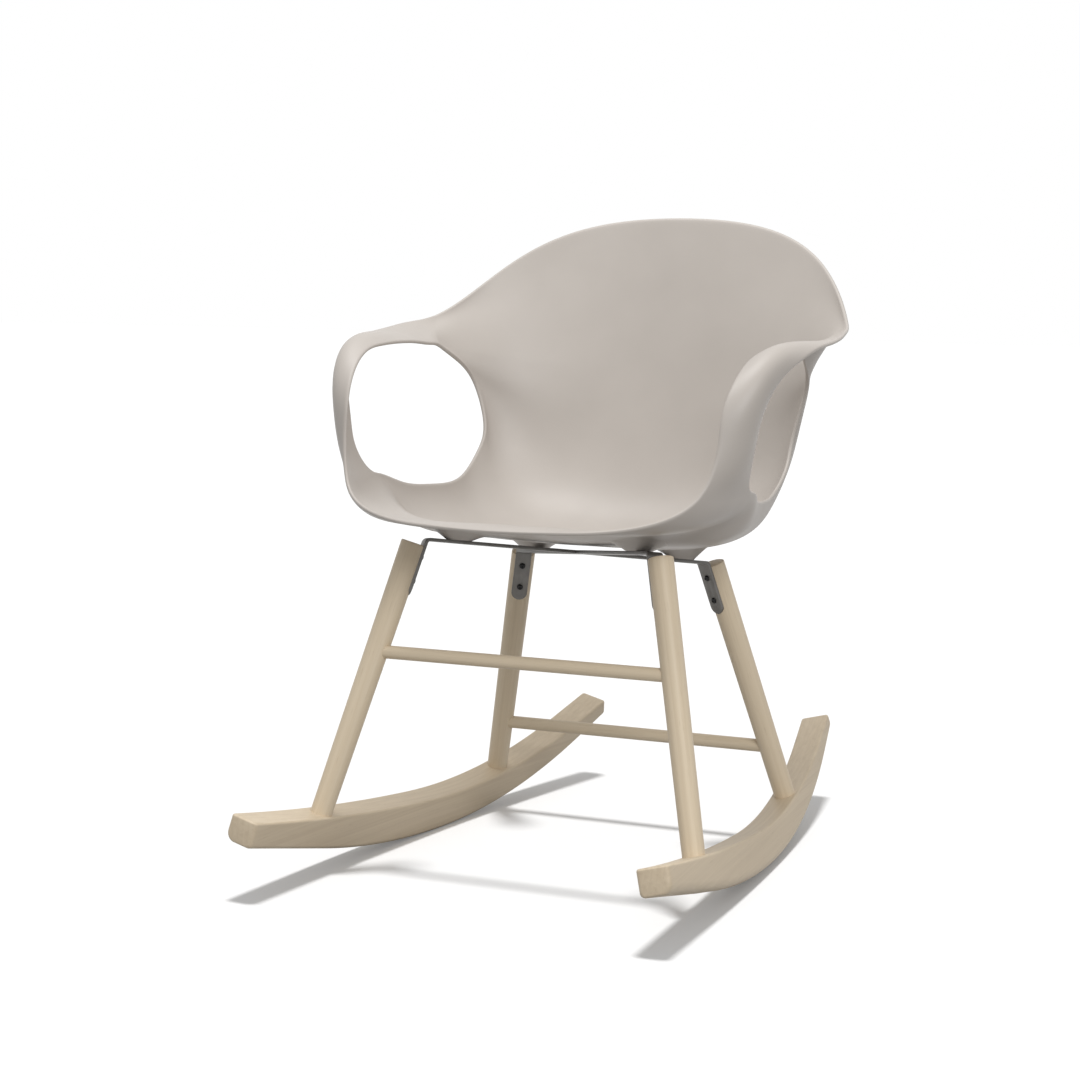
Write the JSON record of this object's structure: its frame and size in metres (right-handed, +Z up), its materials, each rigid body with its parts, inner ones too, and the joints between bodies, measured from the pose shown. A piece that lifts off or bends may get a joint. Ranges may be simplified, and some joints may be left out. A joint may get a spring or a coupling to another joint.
{
  "type": "rocking armchair",
  "caption": "Rocking armchair: moulded plastic bucket seat with looped arms on slanted wooden legs, crossed steel bars, stretchers and curved wooden rockers.",
  "frame": {"origin": "centre of the chair's bounding box, on the floor under the rockers", "axes": "+X towards the sitter's left, +Y towards the back, +Z up"},
  "size_m": [0.6168, 0.7929, 0.7774],
  "materials": {
    "shell_plastic": "warm light grey moulded plastic, satin, very fine texture",
    "leg_wood": "pale beech, clear matt lacquer, fine straight grain",
    "rocker_wood": "pale beech, clear matt lacquer, grain along the runner",
    "bar_steel": "dark grey powder coat, matt",
    "screw_black": "black oxide screws",
    "insert_brass": "plain turned brass"
  },
  "bodies": {
    "root": {"cross_bar_lower": "bar_steel", "cross_bar_upper": "bar_steel", "front_dowel_left": "leg_wood", "front_dowel_right": "leg_wood", "front_leg_inserts_left": "insert_brass", "front_leg_inserts_right": "insert_brass", "front_leg_left": "leg_wood", "front_leg_right": "leg_wood", "front_stretcher": "leg_wood", "front_tab_screws_left": "screw_black", "front_tab_screws_right": "screw_black", "rear_dowel_left": "leg_wood", "rear_dowel_right": "leg_wood", "rear_leg_inserts_left": "insert_brass", "rear_leg_inserts_right": "insert_brass", "rear_leg_left": "leg_wood", "rear_leg_right": "leg_wood", "rear_stretcher": "leg_wood", "rear_tab_screws_left": "screw_black", "rear_tab_screws_right": "screw_black", "rocker_left": "rocker_wood", "rocker_right": "rocker_wood", "seat_shell": "shell_plastic", "shell_inserts": "insert_brass", "shell_screws": "screw_black"}
  },
  "joints": []
}
